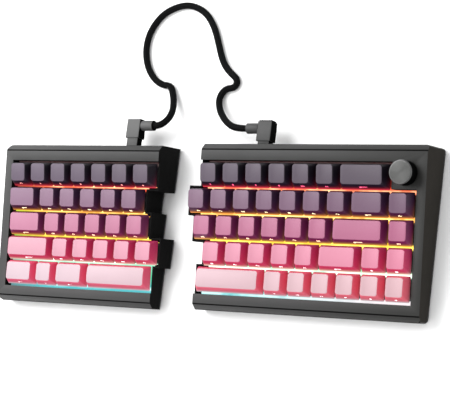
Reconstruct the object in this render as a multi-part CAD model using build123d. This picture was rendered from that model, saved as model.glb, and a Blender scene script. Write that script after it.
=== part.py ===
from build123d import *
import math
import os

# A split keyboard: two wedge-shaped halves with a knob on the right one, joined by a link cable.
# Millimetres, +Z up. The origin is under the middle of the two halves, on the surface that they stand on.
# Each half has a key plane that rises to the back. A point in it is (x, y, h): x from the left edge of the
# half's keys, y from the back edge of the number row, negative to the front, and h up from the caps' edge.

# Key field
UNIT = 19.05                  # distance from one key to the next
ROWS = 5
CAP_GAP = 0.95                # between two neighbouring caps
TYPING_ANGLE = 7.0            # degrees between the key plane and the surface
LEFT_ROWS = [                 # widths in units of each row's keys, all rows start at 0
    [1, 1, 1, 1, 1, 1, 1],
    [1.5, 1, 1, 1, 1, 1],
    [1.75, 1, 1, 1, 1, 1],
    [2.25, 1, 1, 1, 1, 1],
    [1.5, 1, 1.5, 3],
]
RIGHT_ROWS = [                # all rows end at RIGHT_UNITS, but the first one leaves a unit for the knob
    [1, 1, 1, 1, 1, 1, 2],
    [1, 1, 1, 1, 1, 1, 1, 1.5, 1],
    [1, 1, 1, 1, 1, 1, 2.25, 1],
    [1, 1, 1, 1, 1, 1.75, 1, 1],
    [3, 1, 1, 1, 1, 1, 1],
]
RIGHT_STARTS = [0.5, 0, 0.25, 0.75, 0.5]
LEFT_UNITS = 7.25             # the longest row of the left half
RIGHT_UNITS = 9.5
KEY_GAP = 39.7                # between the two halves' longest facing rows
LEFT_BACKSET = 1.7            # the left half stands this much nearer to the front

# Caps, by row from the back: height at the middle of the top and how far the top leans to the front
CAP_HEIGHTS = [9.0, 8.2, 6.5, 7.1, 6.9]
CAP_LEANS = [5.0, 3.0, 0.5, -2.0, -3.0]
CAP_SIDE_INSET = 2.6          # of the top on the left and the right
CAP_BACK_INSET = 1.3
CAP_FRONT_INSET = 3.2
CAP_FOOT_ROUND = 0.9
CAP_TOP_ROUND = 2.3
CAP_WALL = 1.3
CAP_TOP_WALL = 1.05           # of the walls where they meet the roof
CAP_INNER_ROUND = 0.4
CAP_ROOF = 1.1
DISH_DEPTH = 0.7
CROWN_HEIGHT = 0.8            # of the space keys' rounded top
POST_DIAMETER = 5.5
POST_FOOT = 0.6

# Switches, measured from the key plane
PLATE_TOP = -5.8
PLATE_THICKNESS = 1.5
BOARD_TOP = -10.8
BOARD_THICKNESS = 1.6
SWITCH_CUT = 14.0
SWITCH_FLANGE = 15.6
SWITCH_HEAD = (10.6, 9.6)
SWITCH_TOP = 0.1
SWITCH_BORE = (7.6, 6.2)
SWITCH_FLOOR = 1.0
PEG_DIAMETER = 3.9
SLIDER = (7.2, 5.8)
SLIDER_TOP = 0.05
SLIDER_HEIGHT = 5.8
CROSS_LENGTH = 4.0
CROSS_WIDTH = 1.2
CROSS_TOP = 3.6
FIT = 0.1                     # play around a part that slides or drops in
LIGHT = (3.2, 2.8, 1.2)
LIGHT_FORWARD = 4.7           # of the switch's middle

# Stabilisers under the keys of two units and more
STABILISER_CUT = (6.8, 11.4)
STABILISER_FLANGE = (7.6, 12.4)
STABILISER_TOP = -2.4
STABILISER_BOTTOM = -9.6
STABILISER_FLOOR = 0.6
STABILISER_BORE = (5.8, 7.4)
STABILISER_SLIDER = (5.4, 7.0)
STABILISER_SLIDER_HEIGHT = 2.5
STABILISER_SHORT = 11.9       # from the middle of a 2 or 2.25 unit key
STABILISER_LONG = 19.05       # from the middle of a 3 unit key

# Case
KEY_PLANE_HEIGHT = 27.6       # of the key plane above the surface, at y = 0
END_MARGIN = 8.2              # from the keys to the outer end wall
BACK_MARGIN = 13.4            # the walls stand square to the key plane
FRONT_MARGIN = 12.9
RIM_TOP = 2.0
OPENING_MARGIN = 1.2          # from the keys to the rim
SPLIT_REACH = 1.4             # of the wall between the halves, beyond its keys
SPLIT_CLEARANCE = 0.3
SPLIT_TOP = -0.4
CASE_WALL = 2.4
CORNER_ROUND = 3.0
RIM_CHAMFER = 4.3             # along the back and the front
COVER_THICKNESS = 2.0
COVER_BEVEL = 0.8
FOOT_HEIGHT = 1.2             # below the cover
FOOT_DIAMETER = 10.0
FOOT_SINK = 0.6
FOOT_INSET = 14.0
SCREW_DIAMETER = 2.5
SCREW_LENGTH = 9.0
SCREW_HEAD = 4.4
SCREW_HEAD_HEIGHT = 1.1
SCREW_END = 1.5               # of a screw's hole beyond its end
SCREW_DRIVE = (0.9, 0.7)      # radius and depth of the six-sided recess
BOSS_DIAMETER = 5.6
BOSS_INSET = 4.4              # of a screw from the outer faces
BOARD_FRONT = 1.0             # of the board's front edge beyond the keys

# Knob
KNOB_DIAMETER = 17.2
KNOB_BOTTOM = 2.6
KNOB_TOP = 12.5
KNOB_CHAMFER = 0.7
KNOB_AT = (174.0, -6.8)
KNOB_WALL = 2.2
KNOB_ROOF = 5.5               # the knob is solid this far down, around the end of the shaft
KNOB_COLLAR = (9.2, 1.4)      # diameter, and height of its foot over the knob's
ENCODER_SIZE = 12.0
ENCODER_HEIGHT = 6.5
ENCODER_FLOOR = 1.0
BUSHING_DIAMETER = 7.0
BUSHING_TOP = 1.2
SHAFT_DIAMETER = 6.0
SHAFT_LIFT = 2.0              # of the shaft's foot over the board
SHAFT_TOP = 10.6
SHAFT_FLAT = (7.0, 1.5)       # length, and distance from the axis
ROTOR_DIAMETER = 9.6
ROTOR_HEIGHT = 1.6
ROTOR_LIFT = 3.4              # over the board

# Link cable and its sockets
PORT_HEIGHT = 16.0            # of the sockets' middle above the surface
LEFT_PORT_X = 101.2           # from the left edge of the half's keys
RIGHT_PORT_X = 52.6
HOST_PORT_X = 20.0
SOCKET = (8.94, 3.26, 7.4)
SOCKET_SINK = 0.2             # of its mouth into the back wall
SOCKET_WALL = 0.3
SOCKET_BACK = 0.8
SOCKET_TONGUE = (6.7, 0.7, 4.6)
PORT_CUT = (9.8, 4.2)
SHELL = (8.25, 2.4)
SHELL_LENGTH = 6.5
SHELL_BORE = (7.1, 1.1)
SHELL_PLUG = 0.6              # of the shell's closed end, inside the back wall
NECK = (9.4, 6.4)
NECK_GAP = 0.6                # between the case and a plug's neck
LEFT_NECK = 6.6               # from the case to the plug's body
RIGHT_NECK = 2.7
PLUG_BODY = (12.2, 14.4, 8.5)
PLUG_ROUND = 1.0
RIB_COUNT = 6                 # on the right plug's back alone
RIB_PITCH = 1.9
RIB_SIZE = (0.9, 1.2, 7.0)
RELIEF_DIAMETER = 7.8
RELIEF_LENGTH = 10.0
RELIEF_FORWARD = 4.4          # of its middle from the back of the plug's body
CABLE_DIAMETER = 5.2
CABLE_LIE = CABLE_DIAMETER / 2


def level_y(y, z):
    """The y at height z, in a half's upright frame, of a wall that stands at y on the key plane."""
    lean = math.radians(TYPING_ANGLE)
    return y / math.cos(lean) - (z - KEY_PLANE_HEIGHT) * math.tan(lean)


# Derived places
ROW_LEAN = math.radians(TYPING_ANGLE)
FIELD_DEPTH = ROWS * UNIT
LEFT_FIELD = LEFT_UNITS * UNIT
RIGHT_FIELD = (RIGHT_UNITS - RIGHT_STARTS[3]) * UNIT
CAP_TOP_DEPTH = UNIT - CAP_GAP - CAP_BACK_INSET - CAP_FRONT_INSET
CAP_TOP_Y = (CAP_FRONT_INSET - CAP_BACK_INSET) / 2
TOTAL_WIDTH = 2 * END_MARGIN + LEFT_FIELD + KEY_GAP + RIGHT_FIELD
FRONT_EDGE = -FIELD_DEPTH - FRONT_MARGIN
BACK_END = level_y(BACK_MARGIN, FOOT_HEIGHT + COVER_BEVEL)
FRONT_END = FRONT_EDGE * math.cos(ROW_LEAN) + (RIM_CHAMFER - RIM_TOP) * math.sin(ROW_LEAN)
TOTAL_DEPTH = BACK_END - FRONT_END + LEFT_BACKSET
FRONT_FOOT = level_y(FRONT_EDGE, FOOT_HEIGHT)
PORT_FACE = level_y(BACK_MARGIN, PORT_HEIGHT)
MIDDLE_Y = (BACK_END + FRONT_END - LEFT_BACKSET) / 2
COVER_TOP = FOOT_HEIGHT + COVER_THICKNESS
ROTOR_BOTTOM = BOARD_TOP + ROTOR_LIFT
LEFT_X = -TOTAL_WIDTH / 2 + END_MARGIN
RIGHT_X = TOTAL_WIDTH / 2 - END_MARGIN - RIGHT_UNITS * UNIT
FAR = 400.0                   # larger than the object

HALVES = {
    "left": dict(x=LEFT_X, y=-MIDDLE_Y - LEFT_BACKSET, rows=LEFT_ROWS, starts=[0] * ROWS, inner=1),
    "right": dict(x=RIGHT_X, y=-MIDDLE_Y, rows=RIGHT_ROWS, starts=RIGHT_STARTS, inner=-1),
}

# The link cable's route: from the left plug down to the surface, round its loop and up to the right plug
LEFT_RELIEF_Y = HALVES["left"]["y"] + PORT_FACE + LEFT_NECK + PLUG_BODY[1] - RELIEF_FORWARD
RIGHT_RELIEF_Y = HALVES["right"]["y"] + PORT_FACE + RIGHT_NECK + PLUG_BODY[1] - RELIEF_FORWARD
CABLE_START = LEFT_X + LEFT_PORT_X + PLUG_BODY[0] / 2 + RELIEF_LENGTH
CABLE_END = RIGHT_X + RIGHT_PORT_X - PLUG_BODY[0] / 2 - RELIEF_LENGTH
CABLE_ROUTE = [
    (CABLE_START, LEFT_RELIEF_Y, PORT_HEIGHT),
    (-50.2, LEFT_RELIEF_Y, PORT_HEIGHT),
    (-45.2, 80.79, 13.4),
    (-44.2, 88.19, 9.6),
    (-46.8, 96.69, 5.8),
    (-50.2, 104.19, 3.4),
    (-53.6, 110.79, CABLE_LIE),
    (-61.6, 111.19, CABLE_LIE),
    (-70.6, 116.59, CABLE_LIE),
    (-78.6, 128.19, CABLE_LIE),
    (-81.6, 143.19, CABLE_LIE),
    (-78.4, 156.79, CABLE_LIE),
    (-68.0, 169.69, CABLE_LIE),
    (-49.0, 175.59, CABLE_LIE),
    (-32.0, 169.79, CABLE_LIE),
    (-21.4, 157.19, CABLE_LIE),
    (-15.6, 143.69, CABLE_LIE),
    (-10.4, 130.19, CABLE_LIE),
    (-4.0, 121.59, CABLE_LIE),
    (5.9, 114.49, CABLE_LIE),
    (3.9, 108.09, CABLE_LIE),
    (-4.4, 107.79, CABLE_LIE),
    (-9.0, 99.99, 3.0),
    (-4.4, 88.99, 6.2),
    (6.0, 79.09, 11.0),
    (17.4, RIGHT_RELIEF_Y, PORT_HEIGHT),
    (CABLE_END, RIGHT_RELIEF_Y, PORT_HEIGHT),
]


def on_key_plane(shape, side):
    """Lays a shape from a half's key plane into the keyboard's frame."""
    half = HALVES[side]
    return Location((half["x"], half["y"], KEY_PLANE_HEIGHT)) * Rot(TYPING_ANGLE, 0, 0) * shape


def on_desk(shape, side):
    """Lays a shape that is upright, in a half's x and y, into the keyboard's frame."""
    half = HALVES[side]
    return Location((half["x"], half["y"], 0)) * shape


def slab(width, depth, bottom, top, x=0.0, y=0.0):
    """A box around (x, y), from bottom to top."""
    return Pos(x, y, (bottom + top) / 2) * Box(width, depth, top - bottom)


def disc(diameter, bottom, top, x=0.0, y=0.0):
    return Pos(x, y, (bottom + top) / 2) * Cylinder(diameter / 2, top - bottom)


def fused(shapes):
    """One solid of shapes that overlap or touch."""
    whole = shapes[0]
    for shape in shapes[1:]:
        whole = whole + shape
    return whole


def key_cells(side):
    """Each key's row, number in the row, middle x, middle y and width in units."""
    half = HALVES[side]
    cells = []
    for row, widths in enumerate(half["rows"]):
        x = half["starts"][row]
        for number, width in enumerate(widths):
            cells.append((row, number, (x + width / 2) * UNIT, -(row + 0.5) * UNIT, width))
            x += width
    return cells


def row_ends(side, row):
    half = HALVES[side]
    start = half["starts"][row]
    return start * UNIT, (start + sum(half["rows"][row])) * UNIT


def stabiliser_offsets(width):
    if width < 2:
        return []
    offset = STABILISER_LONG if width >= 3 else STABILISER_SHORT
    return [-offset, offset]


# Caps and switches

def cross(bottom, top, play=0.0):
    """The cross-shaped top of a switch's slider."""
    length = CROSS_LENGTH + 2 * play
    width = CROSS_WIDTH + 2 * play
    return slab(length, width, bottom, top) + slab(width, length, bottom, top)


def cap_block(foot, top, height, lean, foot_round, top_round):
    """A tapered block from its foot to its leaning top, each a width and a depth."""
    foot_outline = RectangleRounded(*foot, foot_round)
    top_plane = Location((0, CAP_TOP_Y, height)) * Rot(lean, 0, 0)
    return loft([foot_outline, top_plane * RectangleRounded(*top, top_round)], ruled=True)


def rounding_radius(chord, rise):
    """The radius of an arc over a chord that rises this much in the middle."""
    return (chord**2 / 4 + rise**2) / (2 * rise)


def cap_solid(width, row):
    """A hollow key cap with a post for the switch, around the middle of its cell."""
    foot = (width * UNIT - CAP_GAP, UNIT - CAP_GAP)
    top = (foot[0] - 2 * CAP_SIDE_INSET, CAP_TOP_DEPTH)
    height = CAP_HEIGHTS[row]
    lean = CAP_LEANS[row]
    cap = cap_block(foot, top, height, lean, CAP_FOOT_ROUND, CAP_TOP_ROUND)
    top_place = Location((0, 0, height)) * Rot(lean, 0, 0)
    if width >= 3:
        radius = rounding_radius(CAP_TOP_DEPTH, CROWN_HEIGHT)
        cap = cap & (top_place * Pos(0, CAP_TOP_Y, -radius) * Cylinder(radius, FAR, rotation=(0, 90, 0)))
    else:
        radius = rounding_radius(top[0], DISH_DEPTH)
        cap = cap - top_place * Pos(0, 0, radius - DISH_DEPTH) * Cylinder(radius, FAR, rotation=(90, 0, 0))
    drop = abs(math.tan(math.radians(lean))) * CAP_TOP_DEPTH / 2
    hollow_foot = (foot[0] - 2 * CAP_WALL, foot[1] - 2 * CAP_WALL)
    hollow_top = (top[0] - 2 * CAP_TOP_WALL, top[1] - 2 * CAP_TOP_WALL)
    hollow_height = height - DISH_DEPTH - CAP_ROOF - drop
    cap = cap - cap_block(hollow_foot, hollow_top, hollow_height, 0, CAP_INNER_ROUND, CAP_INNER_ROUND)
    for offset in [0, *stabiliser_offsets(width)]:
        cap = cap + disc(POST_DIAMETER, POST_FOOT, height - DISH_DEPTH - CAP_ROOF / 2, offset)
        cap = cap - Pos(offset, 0, 0) * cross(0, CROSS_TOP, FIT / 2)
    return cap


def slider_solid(size, bottom, top):
    """A slider with the cross that the cap's post goes over."""
    return slab(*size, bottom, top) + cross(top, CROSS_TOP)


def key_solids(width, row, caps):
    """The cap and the sliders that move with it."""
    if (width, row) not in caps:
        caps[width, row] = cap_solid(width, row)
    solids = [caps[width, row], slider_solid(SLIDER, SLIDER_TOP - SLIDER_HEIGHT, SLIDER_TOP)]
    for offset in stabiliser_offsets(width):
        top = STABILISER_TOP - FIT
        slider = slider_solid(STABILISER_SLIDER, top - STABILISER_SLIDER_HEIGHT, top)
        solids.append(Pos(offset, 0, 0) * slider)
    return solids


def switch_housing():
    """A switch's fixed housing, around the middle of its cell."""
    below = slab(SWITCH_CUT - FIT, SWITCH_CUT - FIT, BOARD_TOP, PLATE_TOP)
    foot = Pos(0, 0, PLATE_TOP) * Rectangle(SWITCH_FLANGE, SWITCH_FLANGE)
    head = Pos(0, 0, SWITCH_TOP) * Rectangle(*SWITCH_HEAD)
    above = loft([foot, head], ruled=True)
    peg = disc(PEG_DIAMETER, BOARD_TOP - BOARD_THICKNESS, BOARD_TOP)
    bore = slab(*SWITCH_BORE, BOARD_TOP + SWITCH_FLOOR, SWITCH_TOP + 1)
    return below + above + peg - bore


def stabiliser_housing():
    below = slab(STABILISER_CUT[0] - FIT, STABILISER_CUT[1] - FIT, STABILISER_BOTTOM, PLATE_TOP)
    above = slab(*STABILISER_FLANGE, PLATE_TOP, STABILISER_TOP)
    bore = slab(*STABILISER_BORE, STABILISER_BOTTOM + STABILISER_FLOOR, STABILISER_TOP + 1)
    return below + above - bore


# Case

def span_block(low, high, front, back, bottom, top):
    """A box given by its faces."""
    return slab(high - low, back - front, bottom, top, (low + high) / 2, (front + back) / 2)


def stepped_block(side, bottom, top, outer, inner, back, front, with_knob):
    """Blocks over the rows, stepped on the split side and widened or drawn in by the margins."""
    spans = []
    for row in range(ROWS):
        start, stop = row_ends(side, row)
        if with_knob and side == "right":
            stop = RIGHT_UNITS * UNIT
        near, far = (outer, inner) if side == "left" else (inner, outer)
        spans.append((start - near, stop + far))
    blocks = []
    for row, (low, high) in enumerate(spans):
        row_back = back if row == 0 else inner - row * UNIT
        row_front = front if row == ROWS - 1 else -inner - (row + 1) * UNIT
        blocks.append(span_block(low, high, row_front, row_back, bottom, top))
    for row in range(1, ROWS):
        low = max(spans[row - 1][0], spans[row][0])
        high = min(spans[row - 1][1], spans[row][1])
        reach = abs(inner) + 1
        blocks.append(span_block(low, high, -row * UNIT - reach, -row * UNIT + reach, bottom, top))
    return fused(blocks)


def key_opening(side):
    """The keys' room as a block in the key plane, from the switch plate up."""
    back = OPENING_MARGIN
    front = -FIELD_DEPTH - OPENING_MARGIN
    opening = stepped_block(
        side, PLATE_TOP, FAR, OPENING_MARGIN, SPLIT_CLEARANCE, back, front, with_knob=False
    )
    if side == "right":
        knob_start = row_ends(side, 0)[1]
        knob_end = RIGHT_UNITS * UNIT + OPENING_MARGIN
        front = -UNIT - OPENING_MARGIN
        opening = opening + span_block(knob_start, knob_end, front, -UNIT + OPENING_MARGIN, PLATE_TOP, FAR)
    return opening


def case_block(side, inset, bottom, top, corner_round=0):
    """The case's stepped outline, square to the key plane, drawn in by inset and cut level at both ends."""
    outer = END_MARGIN - inset
    inner = SPLIT_REACH - inset
    back = BACK_MARGIN - inset
    block = stepped_block(side, -FAR, FAR, outer, inner, back, FRONT_EDGE + inset, with_knob=True)
    if corner_round > 0:
        block = fillet(outer_corners(block, side), corner_round)
    return key_frame(block) & slab(2 * FAR, 2 * FAR, bottom, top)


def rim_bevel(y):
    """A bar that bevels the rim's outer edge at y."""
    width = math.sqrt(2) * RIM_CHAMFER
    return key_frame(Pos(0, y, RIM_TOP) * Rot(45, 0, 0) * Box(2 * FAR, width, width))


def below_plane(h):
    """Everything under height h of the key plane, in the upright frame of the half."""
    return Pos(0, 0, KEY_PLANE_HEIGHT) * Rot(TYPING_ANGLE, 0, 0) * slab(2 * FAR, 2 * FAR, -FAR, h)


def key_frame(shape):
    """Leans a shape from the key plane into the upright frame of the half."""
    return Pos(0, 0, KEY_PLANE_HEIGHT) * Rot(TYPING_ANGLE, 0, 0) * shape


def outer_x(side):
    """The x of the outer end wall."""
    return -END_MARGIN if side == "left" else RIGHT_UNITS * UNIT + END_MARGIN


def corner_places(side, inset):
    """A point in each corner of a half: two by the outer end wall and two near the split."""
    outward = -1 if side == "left" else 1
    split_end = 1 if side == "left" else 0
    outer = outer_x(side) - outward * inset
    inward = outward * (inset - SPLIT_REACH)
    back_split = row_ends(side, 0)[split_end] + inward
    front_split = row_ends(side, ROWS - 1)[split_end] + inward
    back = BACK_MARGIN - inset
    front = FRONT_FOOT + inset
    return [(outer, back), (outer, front), (back_split, back), (front_split, front)]


def port_places(side):
    if side == "left":
        return [LEFT_PORT_X, HOST_PORT_X]
    return [RIGHT_PORT_X]


def slot_block(width, height, start, stop):
    """A rounded slot along Y, around x = 0 at the ports' height."""
    outline = Plane.XZ * SlotOverall(width, height)
    return Pos(0, stop, PORT_HEIGHT) * extrude(outline, stop - start)


def outer_corners(block, side):
    """The corner edges at the outer end of a block."""
    x = outer_x(side)
    return [edge for edge in block.edges().filter_by(Axis.Z) if abs(edge.center().X - x) < 0.01]


def top_case(side):
    """The rim, the outer walls and the low wall on the split side, with the knob's corner on the right."""
    shell = case_block(side, 0, COVER_TOP, FAR, CORNER_ROUND) & below_plane(RIM_TOP)
    shell = shell - rim_bevel(BACK_MARGIN) - rim_bevel(FRONT_EDGE)
    shell = shell - key_frame(key_opening(side))
    split_x = row_ends(side, 1)[1] if side == "left" else row_ends(side, 1)[0]
    low_depth = FIELD_DEPTH + 2 * OPENING_MARGIN
    low_side = slab(3 * UNIT, low_depth, SPLIT_TOP, FAR, split_x, -FIELD_DEPTH / 2)
    shell = shell - key_frame(low_side)
    shell = shell - (case_block(side, CASE_WALL, COVER_TOP - 1, FAR) & below_plane(PLATE_TOP))
    for x, y in corner_places(side, BOSS_INSET):
        shell = shell + (disc(BOSS_DIAMETER, COVER_TOP, FAR, x, y) & below_plane(PLATE_TOP + 0.5))
        shell = shell - disc(SCREW_DIAMETER + FIT, COVER_TOP - 1, COVER_TOP + SCREW_LENGTH, x, y)
    for x in port_places(side):
        shell = shell - Pos(x, 0, 0) * slot_block(*PORT_CUT, PORT_FACE - CASE_WALL - 1, PORT_FACE + 1)
    if side == "right":
        room = ENCODER_SIZE + 4 * FIT
        shell = shell - key_frame(disc(BUSHING_DIAMETER + 2 * FIT, PLATE_TOP - 1, FAR, *KNOB_AT))
        room_top = BOARD_TOP + ENCODER_HEIGHT + FIT
        shell = shell - key_frame(slab(room, room, PLATE_TOP - 1, room_top, *KNOB_AT))
    return on_desk(shell, side)


def bottom_cover(side):
    """The flat cover under a half, with sunk seats for its feet and screws."""
    cover = case_block(side, 0, FOOT_HEIGHT, COVER_TOP, CORNER_ROUND)
    cover = chamfer(cover.faces().sort_by(Axis.Z)[0].edges(), COVER_BEVEL)
    for x, y in corner_places(side, BOSS_INSET):
        cover = cover - disc(SCREW_DIAMETER + 2 * FIT, 0, COVER_TOP + 1, x, y)
        cover = cover - disc(SCREW_HEAD + 2 * FIT, 0, FOOT_HEIGHT + SCREW_HEAD_HEIGHT + FIT, x, y)
    for x, y in corner_places(side, FOOT_INSET):
        cover = cover - disc(FOOT_DIAMETER + FIT, 0, FOOT_HEIGHT + FOOT_SINK, x, y)
    return on_desk(cover, side)


def rubber_feet(side):
    foot = disc(FOOT_DIAMETER, 0, FOOT_HEIGHT + FOOT_SINK)
    return [on_desk(Pos(x, y, 0) * foot, side) for x, y in corner_places(side, FOOT_INSET)]


def case_screws(side):
    foot = FOOT_HEIGHT + FIT
    head = disc(SCREW_HEAD, foot, FOOT_HEIGHT + SCREW_HEAD_HEIGHT)
    shank = disc(SCREW_DIAMETER, foot, COVER_TOP + SCREW_LENGTH - SCREW_END)
    radius, depth = SCREW_DRIVE
    drive = Pos(0, 0, foot) * extrude(RegularPolygon(radius, 6), depth)
    screw = head + shank - drive
    return [on_desk(Pos(x, y, 0) * screw, side) for x, y in corner_places(side, BOSS_INSET)]


def inner_outline(side):
    """An upright block that fits inside the walls, cut back around the screw bosses."""
    block = case_block(side, CASE_WALL + 3 * FIT, -FAR, FAR)
    notch = BOSS_DIAMETER + 6 * FIT
    for x, y in corner_places(side, BOSS_INSET):
        block = block - slab(notch, notch, -FAR, FAR, x, y)
    return block


def switch_plate(side):
    """The plate that the switches clip into, held under the rim."""
    bottom = PLATE_TOP - PLATE_THICKNESS
    plate = inner_outline(side) & key_frame(slab(2 * FAR, 2 * FAR, bottom, PLATE_TOP))
    cuts = []
    for _, _, x, y, width in key_cells(side):
        cuts.append(slab(SWITCH_CUT, SWITCH_CUT, bottom - 1, PLATE_TOP + 1, x, y))
        for offset in stabiliser_offsets(width):
            cuts.append(slab(*STABILISER_CUT, bottom - 1, PLATE_TOP + 1, x + offset, y))
    if side == "right":
        encoder_cut = ENCODER_SIZE + 4 * FIT
        cuts.append(slab(encoder_cut, encoder_cut, bottom - 1, PLATE_TOP + 1, *KNOB_AT))
    plate = plate - key_frame(Compound(children=cuts))
    return on_desk(plate, side)


def circuit_board(side):
    """The board under the switches, with a hole for each peg and each light."""
    board = inner_outline(side)
    for x in port_places(side):
        board = board - slab(SOCKET[0] + 1, 2 * SOCKET[2] + 4, -FAR, FAR, x, PORT_FACE)
    bottom = BOARD_TOP - BOARD_THICKNESS
    band_y = FAR / 2 - FIELD_DEPTH - BOARD_FRONT
    board = board & key_frame(slab(2 * FAR, FAR, bottom, BOARD_TOP, 0, band_y))
    cuts = []
    for _, _, x, y, _ in key_cells(side):
        cuts.append(disc(PEG_DIAMETER + FIT, bottom - 1, BOARD_TOP + 1, x, y))
        cuts.append(slab(LIGHT[0] + FIT, LIGHT[1] + FIT, bottom - 1, BOARD_TOP + 1, x, y - LIGHT_FORWARD))
    board = board - key_frame(Compound(children=cuts))
    return on_desk(board, side)


def lights(side):
    """The small lamps in the board, one in front of the middle of each key."""
    top = BOARD_TOP - 2 * FIT
    lamp = slab(LIGHT[0], LIGHT[1], top - LIGHT[2], top, 0, -LIGHT_FORWARD)
    return [on_key_plane(Pos(x, y, 0) * lamp, side) for _, _, x, y, _ in key_cells(side)]


def socket(side, x):
    """A port's metal socket with its tongue, its mouth flush with the back wall."""
    width, height, depth = SOCKET
    mouth = PORT_FACE - SOCKET_SINK
    back = mouth - depth + SOCKET_BACK
    shell = slot_block(width, height, mouth - depth, mouth)
    cavity = slot_block(width - 2 * SOCKET_WALL, height - 2 * SOCKET_WALL, back, mouth + 1)
    tongue_width, tongue_height, tongue_reach = SOCKET_TONGUE
    tongue = Box(tongue_width, tongue_reach + SOCKET_BACK, tongue_height)
    tongue = Pos(0, back + (tongue_reach - SOCKET_BACK) / 2, PORT_HEIGHT) * tongue
    return on_desk(Pos(x, 0, 0) * (shell - cavity + tongue), side)


# Knob

def encoder_body():
    """The encoder's box and its threaded neck, bored for the shaft and hollow for the rotor."""
    x, y = KNOB_AT
    box = slab(ENCODER_SIZE, ENCODER_SIZE, BOARD_TOP, BOARD_TOP + ENCODER_HEIGHT, x, y)
    neck = disc(BUSHING_DIAMETER, BOARD_TOP + ENCODER_HEIGHT - 0.5, BUSHING_TOP, x, y)
    bore = disc(SHAFT_DIAMETER + 2 * FIT, BOARD_TOP + ENCODER_FLOOR, BUSHING_TOP + 1, x, y)
    room_bottom = ROTOR_BOTTOM - 2 * FIT
    room = disc(ROTOR_DIAMETER + 6 * FIT, room_bottom, ROTOR_BOTTOM + ROTOR_HEIGHT + 2 * FIT, x, y)
    return on_key_plane(box + neck - bore - room, "right")


def encoder_rotor():
    """The disc that the shaft turns inside the encoder: its round bore lets the shaft be pressed."""
    x, y = KNOB_AT
    ring = disc(ROTOR_DIAMETER, ROTOR_BOTTOM, ROTOR_BOTTOM + ROTOR_HEIGHT, x, y)
    bore = disc(SHAFT_DIAMETER + FIT, ROTOR_BOTTOM - 1, ROTOR_BOTTOM + ROTOR_HEIGHT + 1, x, y)
    return on_key_plane(ring - bore, "right")


def shaft_block(bottom):
    """The round shaft from a height up to its top, with the flat on its upper part."""
    x, y = KNOB_AT
    length, offset = SHAFT_FLAT
    flat_y = y + SHAFT_DIAMETER / 2 + offset
    flat = slab(SHAFT_DIAMETER, SHAFT_DIAMETER, SHAFT_TOP - length, SHAFT_TOP + 1, x, flat_y)
    return disc(SHAFT_DIAMETER, bottom, SHAFT_TOP, x, y) - flat


def encoder_shaft():
    return on_key_plane(shaft_block(BOARD_TOP + SHAFT_LIFT), "right")


def volume_knob():
    """The metal knob: a hollow cap on the shaft with a bevelled top edge."""
    x, y = KNOB_AT
    body = chamfer(
        Cylinder(KNOB_DIAMETER / 2, KNOB_TOP - KNOB_BOTTOM).edges().sort_by(Axis.Z)[-1:], KNOB_CHAMFER
    )
    body = Pos(x, y, (KNOB_TOP + KNOB_BOTTOM) / 2) * body
    hollow = disc(KNOB_DIAMETER - 2 * KNOB_WALL, KNOB_BOTTOM - 1, KNOB_TOP - KNOB_ROOF, x, y)
    collar_diameter, collar_lift = KNOB_COLLAR
    collar = disc(collar_diameter, KNOB_BOTTOM + collar_lift, KNOB_TOP - KNOB_ROOF, x, y)
    knob = body - hollow + collar - shaft_block(KNOB_BOTTOM - 1)
    return on_key_plane(knob, "right")


# Link cable

def plug_x(side):
    return LEFT_PORT_X if side == "left" else RIGHT_PORT_X


def plug_face(side):
    """The y of the plug body's front face."""
    return PORT_FACE + (LEFT_NECK if side == "left" else RIGHT_NECK)


def plug_housing(side):
    """A right-angle plug: its neck in front, its body, and the relief that the cable comes out of."""
    width, depth, height = PLUG_BODY
    front = plug_face(side)
    back = front + depth
    body = Pos(0, (front + back) / 2, PORT_HEIGHT) * Box(width, depth, height)
    body = fillet(body.edges().filter_by(Axis.Y), PLUG_ROUND)
    neck_front = PORT_FACE + NECK_GAP
    neck = Box(NECK[0], front - neck_front, NECK[1])
    neck = Pos(0, (neck_front + front) / 2, PORT_HEIGHT) * neck
    relief_x = HALVES[side]["inner"] * (width / 2 + RELIEF_LENGTH / 2)
    relief = Cylinder(RELIEF_DIAMETER / 2, RELIEF_LENGTH, rotation=(0, 90, 0))
    relief = Pos(relief_x, back - RELIEF_FORWARD, PORT_HEIGHT) * relief
    plug = body + neck + relief
    if side == "right":
        rib_width, rib_reach, rib_height = RIB_SIZE
        rib = Box(rib_width, 2 * rib_reach, rib_height)
        for number in range(RIB_COUNT):
            x = (number - (RIB_COUNT - 1) / 2) * RIB_PITCH
            plug = plug + Pos(x, back, PORT_HEIGHT) * rib
    return on_desk(Pos(plug_x(side), 0, 0) * plug, side)


def plug_shell(side):
    """The metal end of a plug, pushed into the socket around its tongue."""
    stop = PORT_FACE + NECK_GAP
    start = stop - SHELL_LENGTH
    shell = slot_block(*SHELL, start, stop)
    bore = slot_block(*SHELL_BORE, start - 1, PORT_FACE - SHELL_PLUG)
    return on_desk(Pos(plug_x(side), 0, 0) * (shell - bore), side)


def cable_radii():
    """Each corner's radius: as large as the two runs beside it allow."""
    points = [Vector(*point) for point in CABLE_ROUTE]
    runs = [b - a for a, b in zip(points, points[1:])]
    radii = []
    for before, after in zip(runs, runs[1:]):
        turn = math.radians(before.get_angle(after))
        radii.append(0.45 * min(before.length, after.length) / math.tan(turn / 2))
    return radii


def link_cable():
    path = FilletPolyline(*CABLE_ROUTE, radius=cable_radii())
    start = Plane(origin=path @ 0, z_dir=path % 0)
    cable = sweep(start * Circle(CABLE_DIAMETER / 2), path)
    expected = math.pi * CABLE_DIAMETER**2 / 4 * path.length
    print(f"link cable: {path.length:.1f} mm long, volume {cable.volume:.0f} of {expected:.0f} mm3")
    print("link cable radii:", [round(radius, 1) for radius in cable_radii()])
    return cable


# Nodes

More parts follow.
